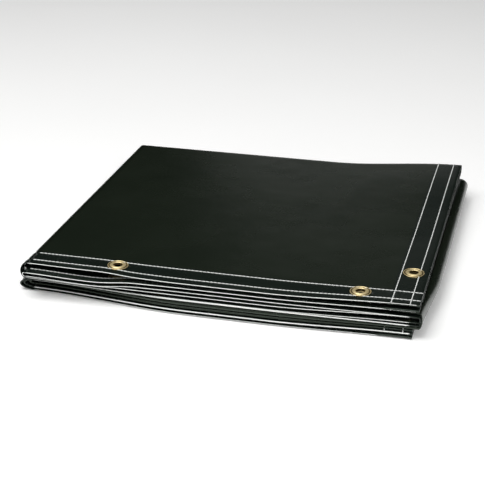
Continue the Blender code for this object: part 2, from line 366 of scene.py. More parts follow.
# %% [markdown]
# ### The bottom leaf's free end
#
# The sheet's two ends lie at the right, one on the top leaf and one on the bottom leaf. The bottom one stops
# a little short of the others. We slide its points along X, by an amount that eases in across the width.
# Whatever is sewn or pressed to a leaf goes through the same function, so it keeps its place on the sheet.

# %% The bottom leaf's free end
END_SHIFT = {"a": 0.0, "b": 0.0, "c": 0.0, "d": -6.5 * MM}
SLIDE_FROM = 0.4


def slid(leaf, points):
    """Points of a leaf, slid along X: by nothing at first, and by the leaf's full shift at the right end."""
    moved = np.array(points, float)
    share = ease((share_of_width(moved[..., 0]) - SLIDE_FROM) / (1 - SLIDE_FROM))
    moved[..., 0] += END_SHIFT[leaf] * share
    return moved


print("bottom leaf's free end is at", round(float(slid("d", [RIGHT, 0, 0])[0]), 4))

# %% [markdown]
# ## From arrays to a mesh
#
# `new_piece` makes a mesh from an array of points and one of quads, and `grid_quads` gives the quads of a
# grid of points. `foreach_set` hands whole arrays to Blender at once, which is far quicker than adding
# vertices one by one. The sheet gets its thickness from a Solidify modifier, centred on the surface, so both
# faces stay true to the path.

# %% Mesh helpers
def new_piece(name, points, quads, attributes=None):
    """A mesh object from an (n, 3) array of points and an (m, 4) array of corner numbers, shaded smooth."""
    mesh = bpy.data.meshes.new(name)
    mesh.vertices.add(len(points))
    mesh.vertices.foreach_set("co", np.ascontiguousarray(points, np.float32).ravel())
    mesh.loops.add(quads.size)
    mesh.loops.foreach_set("vertex_index", np.ascontiguousarray(quads, np.int32).ravel())
    mesh.polygons.add(len(quads))
    mesh.polygons.foreach_set("loop_start", np.arange(0, quads.size, 4, dtype=np.int32))
    mesh.polygons.foreach_set("use_smooth", np.ones(len(quads), bool))
    mesh.update(calc_edges=True)
    for key, values in (attributes or {}).items():
        layer = mesh.attributes.new(key, "FLOAT", "POINT")
        layer.data.foreach_set("value", np.ascontiguousarray(values, np.float32).ravel())
    piece = bpy.data.objects.new(name, mesh)
    bpy.context.scene.collection.objects.link(piece)
    return piece


def grid_quads(rows, cols, closed_rows=False, closed_cols=False):
    """Corner numbers of the quads of a rows by cols grid of points, joined up where it is closed."""
    i = np.arange(rows if closed_rows else rows - 1)[:, None]
    j = np.arange(cols if closed_cols else cols - 1)[None, :]
    i2, j2 = (i + 1) % rows, (j + 1) % cols
    corners = [i * cols + j, i * cols + j2, i2 * cols + j2, i2 * cols + j]
    return np.stack([c + 0 * i + 0 * j for c in corners], -1).reshape(-1, 4)


def thicken(piece, thickness):
    """Gives a sheet its real thickness, half on each side."""
    solid = piece.modifiers.new("thickness", "SOLIDIFY")
    solid.thickness = thickness
    solid.offset = 0.0
    solid.use_rim = True


def flat_length(y, z):
    """How long a path's line is when it is laid out flat."""
    return float(np.hypot(np.diff(y), np.diff(z)).sum())


print("a grid of 3 by 3 points has", len(grid_quads(3, 3)), "quads")

# %% [markdown]
# ### The four leaves
#
# Now each leaf is one call: columns across the width, the hemmed path at every column, and the mesh between
# them. An attribute named `hem` marks the doubled edges, for the material to read. We also measure the path,
# and print how large the sheet is when it is laid out flat.

# %% The four leaves
LEAF_COLUMNS = 96
MEASURED_COLUMN = 40
sheets = {}
for leaf in "abcd":
    x, bulge, offset = columns(leaf, LEAF_COLUMNS)
    y, z, hem = with_hems(leaf, x, offset)
    points = slid(leaf, np.stack([np.broadcast_to(x + bulge, y.shape), y, z], -1).reshape(-1, 3))
    piece = new_piece(f"sheet_{leaf}", points, grid_quads(*y.shape), {"hem": hem.astype(float)})
    thicken(piece, VINYL)
    width = RIGHT - LEFT + (SIDE_HEM if leaf in "ad" else 0)
    sheets[leaf] = (piece, width, flat_length(y[:, MEASURED_COLUMN], z[:, MEASURED_COLUMN]))
    print(piece.name, "is", len(points), "points; flat", [round(v, 3) for v in sheets[leaf][1:]])

# %% [markdown]
# ## The folds between the leaves
# At a fold, the whole leaf path turns through half a circle about the fold line, so the plies lie in each
# other like the layers of an onion. Every station goes from its place in the upper leaf to its place in the
# lower one on half an oval. The further apart the two places, the further that oval bulges, so the layers
# can't cross. When the curtain opens, this piece is bent between the two leaves' bodies.

# %% Nested folds
# A fold's name gives its upper and its lower leaf, and its value is the hinge that it turns about.
FOLDS = {"ab": "upper_left_fold", "bc": "right_fold", "cd": "lower_left_fold"}
FOLD_COLUMNS = 15
# How far each fold bulges, as a share of a round fold's bulge. FRONT_SHARE of that is left at the front, and
# all of it is reached SHARE_REACH behind the front.
BULGE_SHARE = {"ab": 0.85, "bc": 1.2, "cd": 2.6}
FRONT_SHARE = {"ab": 1.0, "bc": 0.32, "cd": 1.0}
SHARE_REACH = 120 * MM
# This share of the clear height on either side of the hinge gives the reach that is printed for each fold.
BEND_SHARE = 0.8


def fold_line(key):
    """X of a fold's hinge, and the way the fold bulges along X: -1 at the left, 1 at the right."""
    x = hinges[FOLDS[key]][0]
    return x, math.copysign(1, x)


def round_the_fold(key, upper, lower, steps):
    """Points on half ovals about the fold line, from (n, 2) places (Y, Z) in the upper to the lower leaf.
    The bulge is a share of half the height between the two places, less where the front is pulled in."""
    line, outward = fold_line(key)
    angle = np.linspace(0, np.pi, steps)[None, :]
    middle, half = (upper + lower) / 2, (upper - lower) / 2
    y = middle[:, :1] + half[:, :1] * np.cos(angle)
    full = ease((y - FRONT) / SHARE_REACH)
    bulge = BULGE_SHARE[key] * np.abs(half[:, 1:]) * (FRONT_SHARE[key] * (1 - full) + full)
    z = middle[:, 1:] + half[:, 1:] * np.cos(angle)
    x = line + outward * bulge * np.sin(angle)
    return np.stack([x, y, z], -1)


turns = {}
for key, joint in FOLDS.items():
    high, low = key
    at_line, zero = np.array([fold_line(key)[0]]), np.zeros(1)
    y_up, z_up, hem = with_hems(high, at_line, zero)
    y_low, z_low, _ = with_hems(low, at_line, zero)
    shape = round_the_fold(key, np.hstack([y_up, z_up]), np.hstack([y_low, z_low]), FOLD_COLUMNS)
    hem = np.repeat(hem.astype(float), FOLD_COLUMNS, axis=1)
    piece = new_piece(f"turn_{key}", shape.reshape(-1, 3), grid_quads(*shape.shape[:2]), {"hem": hem})
    thicken(piece, VINYL)
    hinge_z = hinges[joint][2]
    reach = BEND_SHARE * min(float((z_up - hinge_z).min()), float((hinge_z - z_low).min()))
    width = float(np.linalg.norm(np.diff(shape, axis=1), axis=-1).sum(1).mean())
    turns[key] = (piece, width, flat_length(y_up[:, 0], z_up[:, 0]), reach)
    print(piece.name, "turns", round(width / MM, 1), "mm of sheet; bends within", round(reach / MM, 2), "mm")

# %% [markdown]
# ## Thread
#
# Two rows of lockstitch hold each hem, one near its edge and one by the turned-in end, and a third line runs
# along
# the edge itself: edge thread that is also a painted highlight of the folded glossy edge. A lockstitch looks
# like a row of short beads, because each stitch dips into its needle hole. So a stitch here is a small bead,
# thick in the middle and pointed at its ends, and a row is one mesh with the same bead laid along a line.
# There are thousands of them, so each bead has only a few faces. They are drawn about twice as thick as real
# thread, so that a row still shows from where the camera stands.

# %% Stitches along a line
STITCH_PITCH = 4.6 * MM
STITCH_LENGTH = 5.0 * MM
THREAD_RADIUS = 0.74 * MM
ROWS = (10 * MM, 30.5 * MM)
BEAD_RINGS = np.array([-1.0, -0.72, -0.25, 0.25, 0.72, 1.0])
BEAD_SIDES = 5
# A bead's cut area at its tips, as a share of its middle's, and its height as a share of its width.
BEAD_TIP = 0.04
BEAD_HEIGHT = 0.8


def beads(line, normal):
    """A bead at every point of an (n, 3) line, along it: its radius follows half an oval from end to end."""
    along = np.gradient(line, axis=0)
    along /= np.linalg.norm(along, axis=1, keepdims=True)
    side = np.cross(normal, along)
    side /= np.linalg.norm(side, axis=1, keepdims=True)
    up = np.cross(along, side)
    angle = np.linspace(0, 2 * np.pi, BEAD_SIDES, endpoint=False)
    wide = THREAD_RADIUS * np.sqrt(1 + BEAD_TIP - BEAD_RINGS**2)[:, None]
    ring_side, ring_up = wide * np.cos(angle), wide * np.sin(angle) * BEAD_HEIGHT
    reach = (BEAD_RINGS * STITCH_LENGTH / 2)[:, None] + 0 * angle
    offset = (
        along[:, None, None] * reach[None, ..., None]
        + side[:, None, None] * ring_side[None, ..., None]
        + up[:, None, None] * ring_up[None, ..., None]
    )
    points = (line[:, None, None] + offset).reshape(-1, 3)
    each = len(BEAD_RINGS) * BEAD_SIDES
    quads = grid_quads(len(BEAD_RINGS), BEAD_SIDES, closed_cols=True)
    return points, (quads[None] + (np.arange(len(line)) * each)[:, None, None]).reshape(-1, 4)


print("a row has", round(1 / STITCH_PITCH), "stitches to the metre")

# %% [markdown]
# ### The edge line
#
# The line along a hem's edge is edge thread and a painted highlight of the folded glossy edge, so it is not
# broken into stitches. It is a thin tube: a ring of points round every point of a line, square to the line.
# We name one direction that the line never follows, and the ring's two axes come from cross products with it.

# %% A tapered tube
TUBE_SIDES = 7
TUBE_TIP = 0.05
NEVER_ALONG = [0.0, 0.31, 0.95]


def tube(line, radius):
    """A round tube along an (n, 3) line, tapered shut at both ends, with its radius given at each point."""
    along = np.gradient(line, axis=0)
    along /= np.linalg.norm(along, axis=1, keepdims=True)
    side = np.cross(along, NEVER_ALONG)
    side /= np.linalg.norm(side, axis=1, keepdims=True)
    up = np.cross(side, along)
    angle = np.linspace(0, 2 * np.pi, TUBE_SIDES, endpoint=False)
    radius = np.broadcast_to(radius, (len(line),)).copy()
    radius[[0, -1]] *= TUBE_TIP
    ring = side[:, None] * np.cos(angle)[None, :, None] + up[:, None] * np.sin(angle)[None, :, None]
    points = line[:, None] + ring * radius[:, None, None]
    return points.reshape(-1, 3), grid_quads(len(line), TUBE_SIDES, closed_cols=True)


def merged(parts):
    """Several (points, quads) pairs as one pair."""
    counts = np.cumsum([0] + [len(points) for points, _ in parts[:-1]])
    return np.vstack([p for p, _ in parts]), np.vstack([q + n for (_, q), n in zip(parts, counts)])


short_tube = tube(np.eye(3), MM)
print("two short tubes in one mesh have", len(merged([short_tube, short_tube])[1]), "quads")

# %% [markdown]
# ### Rows on the hems
#
# A row is laid on its ply with the same `height` function as the sheet, so it follows every lift and droop.
# The slope of that function gives the way the face looks, and the stitches are moved out along it, to the
# face on one side and to the folded-under layer on the other.

# %% Places on a ply
# The middle of a stitch stands this far off the vinyl, so most of its thickness shows.
STITCH_STANDS = 0.12 * MM
FACE = VINYL / 2 + STITCH_STANDS
REVERSE = LAYER + VINYL / 2 + STITCH_STANDS
SLOPE_STEP = 0.5 * MM


def on_ply(leaf, which, x, inward):
    """Points of a hem ply at a distance inward from its front edge, and the way its face looks there."""
    y = front_edge(leaf, which, x) + inward
    z = height(leaf, which, x, y)
    step = SLOPE_STEP
    slope_x = (height(leaf, which, x + step, y) - height(leaf, which, x - step, y)) / (2 * step)
    slope_y = (height(leaf, which, x, y + step) - height(leaf, which, x, y - step)) / (2 * step)
    normal = np.stack([-slope_x, -slope_y, np.ones_like(z)], -1)
    normal /= np.linalg.norm(normal, axis=-1, keepdims=True)
    facing = faces_up[leaf] * (1 if which in ("first", "inner") else -1)
    return np.stack([x + 0 * z, y + 0 * z, z], -1), normal * facing


print("stitches stand", round(FACE / MM, 2), "mm above the middle of the sheet")

# %% Rows on the hems
# Radius of the edge line along each hem, in millimetres: edge thread and a painted highlight of the folded
# edge, thicker where that highlight is brighter. Also its share at the left, where it is made thinner as
# painted shade.
EDGE_RADIUS = {
    ("a", "first"): 0.45, ("a", "second"): 0.45, ("b", "second"): 0.42, ("b", "first"): 0.42,
    ("c", "first"): 0.36, ("c", "second"): 0.68, ("d", "second"): 0.72, ("d", "first"): 0.24,
}
EDGE_LEFT_SHARE = {"c": 0.3}
# How far before the right fold line the edge line stops, in millimetres.
EDGE_STOPS = {"a": 0.3, "b": 9, "c": 9, "d": 0.3}
EDGE_POINTS = 120


def hem_rows(leaf):
    """Both rows of both long hems, on both faces."""
    parts = []
    for which in ("first", "second"):
        for inward in ROWS:
            x = np.arange(RIGHT - STITCH_PITCH / 2, LEFT + STITCH_PITCH / 2, -STITCH_PITCH)
            line, face = on_ply(leaf, which, x, inward)
            parts += [beads(line + face * FACE, face), beads(line - face * REVERSE, -face)]
    return parts


def side_rows(leaf):
    """Both rows of the side hem, which follow the whole folded path of the leaf, on both faces."""
    parts = []
    for inward in ROWS:
        y, z = (a[:, 0] for a in leaf_path(leaf, [RIGHT - inward]))
        length = np.concatenate([[0], np.cumsum(np.hypot(np.diff(y), np.diff(z)))])
        at = np.arange(STITCH_PITCH / 2, length[-1], STITCH_PITCH)
        line_y, line_z = np.interp(at, length, y), np.interp(at, length, z)
        ty, tz = (a[:, 0] for a in directions(line_y[:, None], line_z[:, None]))
        line = np.stack([0 * at + RIGHT - inward, line_y, line_z], -1)
        face = np.stack([0 * at, -tz, ty], -1) * faces_up[leaf]
        parts += [beads(line + face * FACE, face), beads(line - face * REVERSE, -face)]
    return parts


def edge_line(leaf, which, x):
    """The middle of the edge line along a hem's front edge, edge thread and painted highlight: just ahead of
    the turned-over sheet.
    """
    line, face = on_ply(leaf, which, x, 0 * x)
    return line - face * LAYER / 2 - [0, LAYER / 2 + VINYL / 2, 0]


threads = {}
for leaf in "abcd":
    x = np.linspace(LEFT, RIGHT - EDGE_STOPS[leaf] * MM, EDGE_POINTS)
    parts = hem_rows(leaf) + (side_rows(leaf) if leaf in "ad" else [])
    # The edge tube: edge thread and a painted highlight of the folded glossy edge, made thinner at the left
    # as painted shade.
    for which in ("first", "second"):
        radius = EDGE_RADIUS[leaf, which] * MM * across(x, EDGE_LEFT_SHARE.get(leaf, 1.0), 1, 1)
        parts.append(tube(edge_line(leaf, which, x), radius))
    points, quads = merged(parts)
    threads[leaf] = new_piece(f"thread_{leaf}", slid(leaf, points), quads)
    print(threads[leaf].name, "has", len(threads[leaf].data.polygons), "faces")

# %% [markdown]
# ### Rows round the folds
#
# The rows go on round each fold. The half ovals of the sheet serve again, from the row's place on the upper
# leaf to its place on the lower one. We measure along the oval and set whole stitches evenly on it.

# %% Rows round the folds
ROUND_POINTS, EDGE_ROUND_POINTS = 60, 24
# Keeps a stitch's outward direction from having no length where the stitch lies on the hinge itself.
NUDGE = [0, 0, 1e-5]


def row_round_fold(key, which, inward, away):
    """Places of one row's stitches round a fold: as many whole pitches as the oval is long, evenly spread."""
    ends = []
    for leaf in key:
        point, face = on_ply(leaf, which, np.array([fold_line(key)[0]]), inward)
        ends.append((point + face * away)[:, 1:])
    around = round_the_fold(key, *ends, ROUND_POINTS)[0]
    length = np.concatenate([[0], np.cumsum(np.linalg.norm(np.diff(around, axis=0), axis=1))])
    count = int(length[-1] // STITCH_PITCH)
    at = (np.arange(count) + 0.5) * length[-1] / max(count, 1)
    return np.stack([np.interp(at, length, around[:, k]) for k in range(3)], -1)


turn_threads = {}
for key, joint in FOLDS.items():
    line = fold_line(key)[0]
    parts = []
    for which, inward, away in itertools.product(("first", "second"), ROWS, (FACE, -REVERSE)):
        points = row_round_fold(key, which, inward, away)
        if len(points) > 1:
            parts.append(beads(points, points - [line, points[0, 1], hinges[joint][2]] + NUDGE))
    # The edge line goes on round the top fold: edge thread and a painted highlight of the folded edge.
    if key == "ab":
        ends = [edge_line(leaf, "second", np.array([line]))[:, 1:] for leaf in key]
        around = round_the_fold(key, *ends, EDGE_ROUND_POINTS)[0]
        upper_radius, lower_radius = (EDGE_RADIUS[leaf, "second"] for leaf in key)
        parts.append(tube(around, MM * np.linspace(upper_radius, lower_radius, EDGE_ROUND_POINTS)))
    turn_threads[key] = new_piece(f"turn_thread_{key}", *merged(parts))
print("threads round the folds:", [len(t.data.polygons) for t in turn_threads.values()])

# %% [markdown]
# ## Brass grommets
#
# A grommet is an eyelet pushed through the hem from the face, and a washer that its barrel is rolled over
# on the other side. Both are thin pressed sheet, so the face shows a narrow outer bead, a shallow groove, and
# a raised ring that rolls down into the hole. One profile, turned round an axis, gives all of that.

# %% The grommet's profile
GROMMET_R = (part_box("eyelet_first_1")[1].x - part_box("eyelet_first_1")[0].x) / 2
HOLE_R = 5.3 * MM
# Heights of the pressed shapes, in millimetres: the raised ring, the bead at the rim and the rolled back.
CROWN, RIM_BEAD, BACK_ROLL = 1.5, 0.62, 0.62
# How far the face and the back stand off the sheet, and where the barrel runs, in millimetres.
FACE_SEAT, BACK_SEAT = 0.42, 0.22
BARREL_TOP, BARREL_FOOT = 0.9, -1.35
# Where the ring begins, and where the bead and the back's roll end, as shares of the way across the flange.
CROWN_FROM, BEAD_ENDS, ROLL_ENDS = 0.26, 0.2, 0.42
# The ring's arch leans towards the hole, and its sine stops at this share of a half turn, inside the hole.
CROWN_LEAN, CROWN_TURN = 1.15, 0.84
FACE_RINGS, BARREL_RINGS, BACK_RINGS = 30, 9, 18


def grommet_profile():
    """Radius, height and painted shade of a closed outline: the face from rim to hole, the barrel, the rolled
    back.
    Each raised shape is a half wave of a sine, with a power below 1 that makes it blunter."""
    t = np.linspace(0, 1, FACE_RINGS)
    r = GROMMET_R + (HOLE_R - GROMMET_R) * t
    ring_part = np.clip((t - CROWN_FROM) / (1 - CROWN_FROM), 0, 1)
    crown = CROWN * np.sin(np.pi * ring_part**CROWN_LEAN * CROWN_TURN) ** 0.9
    bead = RIM_BEAD * np.sin(np.pi * np.clip(t / BEAD_ENDS, 0, 1)) ** 0.6
    face = MM * (FACE_SEAT + crown + bead)
    down = np.linspace(BARREL_TOP, BARREL_FOOT, BARREL_RINGS)[1:-1] * MM
    u = np.linspace(0, 1, BACK_RINGS)
    back_r = HOLE_R + (GROMMET_R - HOLE_R) * u
    roll = BACK_ROLL * np.sin(np.pi * np.clip(u / ROLL_ENDS, 0, 1)) ** 0.8
    back = -(LAYER + VINYL / 2) - MM * (BACK_SEAT + roll)
    radius = np.concatenate([r, HOLE_R + 0 * down, back_r])
    # Painted shade: 1 in the groove between bead and ring and inside the barrel, 0.6 on the back, less on the
    # raised shapes.
    groove = np.concatenate([1 - np.clip(crown + 2 * bead, 0, 1), 1 + 0 * down, 0.6 + 0 * u])
    return radius, np.concatenate([face, down, back]), groove


print("grommet", round(2 * GROMMET_R / MM, 1), "mm across, profile of", len(grommet_profile()[0]), "points")

# %% [markdown]
# ### Turning and placing
#
# The profile is turned about an axis that stands square on the ply, so a grommet tilts with the hem it is
# pressed into. Its place comes from the solid eyelet or washer, moved with the soft ply.

# %% Turned grommets
SPIN_STEPS = 56


def turned_piece(name, centre, normal):
    """The profile turned about the normal through the centre."""
    radius, level, groove = grommet_profile()
    normal = np.asarray(normal) / np.linalg.norm(normal)
    side = np.cross(normal, [0, 1, 0])
    side /= np.linalg.norm(side)
    other = np.cross(normal, side)
    angle = np.linspace(0, 2 * np.pi, SPIN_STEPS, endpoint=False)[:, None, None]
    out = side * np.cos(angle) + other * np.sin(angle)
    points = centre + out * radius[None, :, None] + normal * level[None, :, None]
    quads = grid_quads(SPIN_STEPS, len(radius), closed_rows=True, closed_cols=True)
    return new_piece(name, points.reshape(-1, 3), quads[:, ::-1], {"groove": np.tile(groove, SPIN_STEPS)})


def press_grommet(name, leaf, which, nodes, edge):
    """Puts a grommet on its ply, as far behind `edge` as its solids lie, and notes its centre to punch."""
    spot = middle_of(nodes[0])
    point, face = on_ply(leaf, which, np.array([spot.x]), spot.y - edge)
    centre = slid(leaf, point[0])
    centres[leaf].append(centre)
    grommets.append((turned_piece(name, centre, face[0]), leaf, nodes))


grommets, centres = [], {leaf: [] for leaf in "abcd"}
body_of = {node: body for body, nodes in frame["record"]["behaviour"]["bodies"].items() for node in nodes}
on_each_hem = len([node for node in body_of if node.startswith("eyelet_first_")])
for number, which in itertools.product(range(1, on_each_hem + 1), ("first", "second")):
    nodes = (f"eyelet_{which}_{number}", f"washer_{which}_{number}")
    press_grommet(f"grommet_{which}_{number}", body_of[nodes[0]][-1], which, nodes, FRONT)
for leaf, (number, which) in itertools.product("ad", enumerate(PLIES, 1)):
    node = f"side_grommet_{leaf}_{number}"
    edge = front_edge(leaf, which, np.array([middle_of(node).x]))
    press_grommet(f"grommet_side_{leaf}_{number}", leaf, which, (node,), edge)
print(len(grommets), "grommets,", len(grommets[0][0].data.polygons), "faces each")

# %% [markdown]
# ### Punching the holes
#
# A grommet's hole goes right through the hem, so the sheet has to be open under it. A Boolean could cut a
# clean circle, but it is slow on a folded sheet and can fail where layers touch. The flange hides the cut's
# edge, so it is enough to drop the faces of the sheet that lie wholly under a flange.

# %% Punched holes
# The flange covers the cut's edge by at least the first distance. Only sheet that lies within the second of
# the grommet's height is cut, so the plies above and below stay whole.
FLANGE_COVER = 0.4 * MM
PUNCH_REACH = 1.2 * MM


def punch(piece, spots):
    """Opens a sheet under its grommets: drops each face whose four corners all lie under one flange."""
    mesh = piece.data
    places, corners = np.empty(len(mesh.vertices) * 3, np.float32), np.empty(len(mesh.loops), np.int32)
    mesh.vertices.foreach_get("co", places)
    mesh.loops.foreach_get("vertex_index", corners)
    gap = places.reshape(-1, 3)[corners].reshape(-1, 4, 1, 3) - spots
    near = np.hypot(gap[..., 0], gap[..., 1]) < GROMMET_R - FLANGE_COVER
    inside = (near & (np.abs(gap[..., 2]) < PUNCH_REACH)).all(axis=1).any(axis=1)
    cut = bmesh.new()
    cut.from_mesh(mesh)
    cut.faces.ensure_lookup_table()
    bmesh.ops.delete(cut, geom=[cut.faces[k] for k in np.flatnonzero(inside)], context="FACES")
    cut.to_mesh(mesh)
    cut.free()
    return int(inside.sum())


dropped = {leaf: punch(sheets[leaf][0], np.array(centres[leaf])) for leaf in "abcd"}
print("faces dropped under the flanges:", dropped)

# %% [markdown]
# ## Materials
#
# Node trees are built with one helper that adds a node, sets its inputs and makes its links. Colours are
# written as hex values, as a painter would read them off a chart, and turned into linear light once.

# %% Node helper and colours
def linear(hex_colour):
    """An sRGB hex colour as linear RGBA: each channel through the sRGB curve."""
    channels = [int(hex_colour[i : i + 2], 16) / 255 for i in (1, 3, 5)]
    return (*[c / 12.92 if c <= 0.04045 else ((c + 0.055) / 1.055) ** 2.4 for c in channels], 1.0)


def add_node(mat, kind, settings=None, **links):
    """Adds a node. `settings` are its properties; each link is a value, or (node, output name)."""
    node = mat.node_tree.nodes.new(kind)
    for key, value in (settings or {}).items():
        setattr(node, key, value)
    for key, value in links.items():
        socket = node.inputs[int(key[2:])] if key.startswith("in") else node.inputs[key.replace("_", " ")]
        if isinstance(value, tuple) and isinstance(value[0], bpy.types.Node):
            mat.node_tree.links.new(value[0].outputs[value[1]], socket)
        else:
            socket.default_value = value
    return node


def new_material(name):
    """A new material with a Principled shader, and that shader node."""
    mat = bpy.data.materials.new(name)
    mat.use_nodes = True
    return mat, mat.node_tree.nodes["Principled BSDF"]


def plug(mat, node, output, shader, socket):
    """Links one node's output to a shader socket."""
    mat.node_tree.links.new(node.outputs[output], shader.inputs[socket])


def per_metre(size):
    """The scale of a noise whose grains are that many millimetres across: how many fit into a metre."""
    return 1000 / size


print("middle grey in linear light is", round(linear("#808080")[0], 3))

# %% [markdown]
# ### Calendered PVC
#
# The sheet is plasticised PVC, rolled between hot steel cylinders. That leaves a satin gloss with a very
# faint orange peel about a millimetre across, and broad, shallow waves where it has been folded. The tint is
# a green so deep that it reads as black. Handling leaves slightly duller patches. The Mix node keeps its two
# colours in the inputs numbered 6 and 7, and gives the mixed colour from output 2. Map Range takes the old
# low and high in inputs 1 and 2, and the new ones in 3 and 4.

# %% Calendered PVC
# Sizes in millimetres: the patches that handling leaves, the orange peel, and the waves of old folds.
PATCH, PEEL, WAVE = 71.43, 1.111, 45.45


def calendered_pvc():
    """Dark green PVC: a satin gloss that varies with the handling patches, over fine peel and broad waves."""
    mat, shader = new_material("calendered_pvc_dark_green")
    place = add_node(mat, "ShaderNodeTexCoord")
    hem = add_node(mat, "ShaderNodeAttribute", {"attribute_name": "hem"})
    patches = add_node(mat, "ShaderNodeTexNoise", Vector=(place, "Object"),
                       Scale=per_metre(PATCH), Detail=3.0)
    peel = add_node(mat, "ShaderNodeTexNoise", Vector=(place, "Object"), Scale=per_metre(PEEL), Detail=1.0)
    waves = add_node(mat, "ShaderNodeTexNoise", Vector=(place, "Object"), Scale=per_metre(WAVE), Detail=1.5)
    field = add_node(mat, "ShaderNodeMix", {"data_type": "RGBA"}, in0=(patches, "Fac"),
                     in6=linear("#161c15"), in7=linear("#1b2119"))
    sewn = add_node(mat, "ShaderNodeMix", {"data_type": "RGBA"}, in0=(patches, "Fac"),
                    in6=linear("#121915"), in7=linear("#161c18"))
    colour = add_node(mat, "ShaderNodeMix", {"data_type": "RGBA"}, in0=(hem, "Fac"),
                      in6=(field, 2), in7=(sewn, 2))
    rough = add_node(mat, "ShaderNodeMapRange", in0=(patches, "Fac"), in1=0.3, in2=0.7, in3=0.24, in4=0.30)
    fine = add_node(mat, "ShaderNodeBump", Height=(peel, "Fac"), Strength=0.10, Distance=0.0002)
    broad = add_node(mat, "ShaderNodeBump", Height=(waves, "Fac"), Strength=0.10, Distance=0.004,
                     Normal=(fine, "Normal"))
    plug(mat, colour, 2, shader, "Base Color")
    plug(mat, rough, "Result", shader, "Roughness")
    plug(mat, broad, "Normal", shader, "Normal")
    shader.inputs["IOR"].default_value = 1.53
    shader.inputs["Specular Tint"].default_value = linear("#f0fff0")
    return mat


pvc = calendered_pvc()
print(pvc.name, "has", len(pvc.node_tree.nodes), "nodes")

# %% [markdown]
# ### Bonded polyester thread
#
# The thread is thick bonded polyester in an undyed off-white. The bond gives it a hard, slightly glossy skin
# over the twist, which the eye sees as small changes of brightness along a stitch.

# %% Bonded polyester thread
# The thread's plies are about 0.3 mm across, too fine to show, so the twist is drawn this coarse.
TWIST = 0.7143


def bonded_polyester():
    """Off-white thread whose brightness and surface follow the twist."""
    mat, shader = new_material("bonded_polyester_thread")
    place = add_node(mat, "ShaderNodeTexCoord")
    twist = add_node(mat, "ShaderNodeTexNoise", Vector=(place, "Object"), Scale=per_metre(TWIST), Detail=2.0)
    colour = add_node(mat, "ShaderNodeMix", {"data_type": "RGBA"}, in0=(twist, "Fac"),
                      in6=linear("#cdd1ca"), in7=linear("#ffffff"))
    bump = add_node(mat, "ShaderNodeBump", Height=(twist, "Fac"), Strength=0.4, Distance=0.0002)
    plug(mat, colour, 2, shader, "Base Color")
    plug(mat, bump, "Normal", shader, "Normal")
    shader.inputs["Roughness"].default_value = 0.55
    return mat


thread_finish = bonded_polyester()
print(thread_finish.name, "has", len(thread_finish.node_tree.nodes), "nodes")

# %% [markdown]
# ### Pressed brass
#
# The grommets are pressed from bright brass sheet and lacquered: warm and shiny on the raised rings. The
# grooves are painted darker and browner, and the barrel inside the hole darkest, as painted shade; the
# profile's shade attribute tells the shader where that is. The lacquer is a clear coat of plastic, so the
# whole is made a little less metallic than bare brass.

# %% Lacquered brass
# Size of the tarnish spots in millimetres, and how strongly the painted groove shade darkens.
TARNISH = 3.846
GROOVE_SHADE_STRENGTH = 1.25


def pressed_brass():
    """Lacquered brass: bright on the raised rings, with painted shade in dark brown where the groove shade
    attribute is high.
    """
    mat, shader = new_material("pressed_brass")
    place = add_node(mat, "ShaderNodeTexCoord")
    groove = add_node(mat, "ShaderNodeAttribute", {"attribute_name": "groove"})
    tarnish = add_node(mat, "ShaderNodeTexNoise", Vector=(place, "Object"),
                       Scale=per_metre(TARNISH), Detail=3.0)
    # Painted shade: the groove shade attribute mixes the brass towards dark brown.
    painted_shade = add_node(mat, "ShaderNodeMath", {"operation": "MULTIPLY"}, in0=(groove, "Fac"), in1=GROOVE_SHADE_STRENGTH)
    colour = add_node(mat, "ShaderNodeMix", {"data_type": "RGBA"}, in0=(painted_shade, "Value"),
                      in6=linear("#f3dea8"), in7=linear("#4a3816"))
    rough = add_node(mat, "ShaderNodeMapRange", in0=(tarnish, "Fac"), in1=0.3, in2=0.7, in3=0.34, in4=0.46)
    bump = add_node(mat, "ShaderNodeBump", Height=(tarnish, "Fac"), Strength=0.15, Distance=0.0003)
    plug(mat, colour, 2, shader, "Base Color")
    plug(mat, rough, "Result", shader, "Roughness")
    plug(mat, bump, "Normal", shader, "Normal")
    shader.inputs["Metallic"].default_value = 0.68
    return mat


brass = pressed_brass()
print(brass.name, "has", len(brass.node_tree.nodes), "nodes")


def finish_with(piece, mat):
    """Gives a piece its material."""
    piece.data.materials.append(mat)


# %% [markdown]
# ## Who rides on what
#
# Every leaf, with its thread and grommets, rides on its own body. Each new piece hides the plain solids it
# stands for.

# %% Bodies, replaced solids and sheets
for leaf, (piece, width, length) in sheets.items():
    finish_with(piece, pvc)
    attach(piece, f"leaf_{leaf}")
    solids = [f"panel_{leaf}", f"first_hem_{leaf}", f"second_hem_{leaf}"]
    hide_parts(*solids, *([f"side_hem_{leaf}"] if leaf in "ad" else []))
    finish_with(threads[leaf], thread_finish)
    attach(threads[leaf], f"leaf_{leaf}")
for piece, leaf, nodes in grommets:
    finish_with(piece, brass)
    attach(piece, f"leaf_{leaf}")
    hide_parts(*nodes)
for key, joint in FOLDS.items():
    high, low = key
    piece, width, length, reach = turns[key]
    line, hinge_z = fold_line(key)[0], hinges[joint][2]
    for part, mat, slot in ((piece, pvc, "vinyl"), (turn_threads[key], thread_finish, "hem")):
        finish_with(part, mat)
        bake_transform(part)
    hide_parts(f"fold_{high}_{low}")
print("sheets declared:", len(sheets) + len(turns))

# %% [markdown]
# ## Studio
#
# The curtain lies on a pale floor under large, soft lights. A glossy dark sheet shows what it mirrors: the
# camera looks along it, so it mirrors the far side of the room. The sky is bright overhead and in front, and
# dark low down at the back, which keeps the top nearly black.
#
# The floor is one flat grid. It glows a little, so that it reads as clean white and still takes a soft
# shadow.

# %% The floor
FLOOR_HALF, FLOOR_LINES = 6.0, 9
FLOOR_DROP = 0.2 * MM
# Size in millimetres of the very faint clouds in the paint.
FLOOR_MOTTLE = 333.3
FLOOR_GLOW = 0.16


